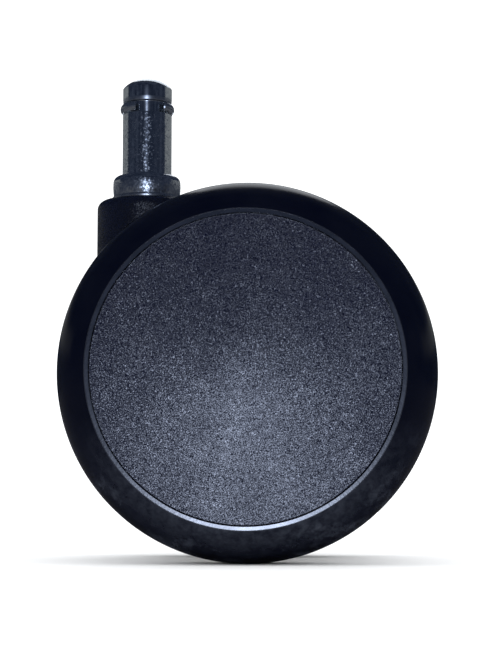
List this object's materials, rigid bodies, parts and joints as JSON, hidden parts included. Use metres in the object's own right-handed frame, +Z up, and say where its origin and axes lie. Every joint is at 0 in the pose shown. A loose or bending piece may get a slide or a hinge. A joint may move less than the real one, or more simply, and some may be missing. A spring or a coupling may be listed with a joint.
{
  "type": "twin-wheel chair caster",
  "caption": "Hoodless twin-wheel chair caster with a grip-ring stem, a central arm, soft round-shouldered tyres and dished, textured wheel covers.",
  "frame": {"origin": "on the swivel axis, in the plane of the stem collar's upper face, which the chair's base rests on", "axes": "+Z up along the stem; +X the side to which the wheels trail; Y along the axle, with the left wheel at -Y"},
  "size_m": [0.0801, 0.0628, 0.1071],
  "materials": {
    "stem_steel": "bright zinc plate, mottled by handling",
    "spring_steel": "plated spring steel",
    "washer_steel": "plated washer",
    "axle_steel": "ground axle",
    "bush_bronze": "sintered bronze bush",
    "slide_plastic": "natural acetal washer",
    "housing_plastic": "fine-grained black nylon",
    "core_plastic": "moulded black nylon, with a polished lip",
    "tyre": "smooth, glossy soft tread",
    "cover_plastic": "coarse sparkling spark-eroded texture"
  },
  "bodies": {
    "stem": {"stem": "stem_steel", "grip_ring": "spring_steel", "swivel_washer": "washer_steel", "stem_snap_ring": "spring_steel"},
    "housing": {"housing": "housing_plastic", "stem_bush": "bush_bronze", "axle": "axle_steel", "left_thrust_washer": "slide_plastic", "right_thrust_washer": "slide_plastic", "left_outer_washer": "washer_steel", "right_outer_washer": "washer_steel", "left_axle_clip": "spring_steel", "right_axle_clip": "spring_steel"},
    "left_wheel": {"left_wheel_core": "core_plastic", "left_tyre": "tyre", "left_cover": "cover_plastic", "left_hub_bush": "bush_bronze"},
    "right_wheel": {"right_wheel_core": "core_plastic", "right_tyre": "tyre", "right_cover": "cover_plastic", "right_hub_bush": "bush_bronze"}
  },
  "joints": [
    {"name": "swivel", "type": "hinge", "parent": "stem", "child": "housing", "pos_m": [0, 0, 0], "axis": [0, 0, 1], "continuous": true},
    {"name": "left_wheel_spin", "type": "hinge", "parent": "housing", "child": "left_wheel", "pos_m": [0.02315, 0, -0.04512], "axis": [0, 1, 0], "continuous": true},
    {"name": "right_wheel_spin", "type": "hinge", "parent": "housing", "child": "right_wheel", "pos_m": [0.02315, 0, -0.04512], "axis": [0, 1, 0], "continuous": true}
  ]
}
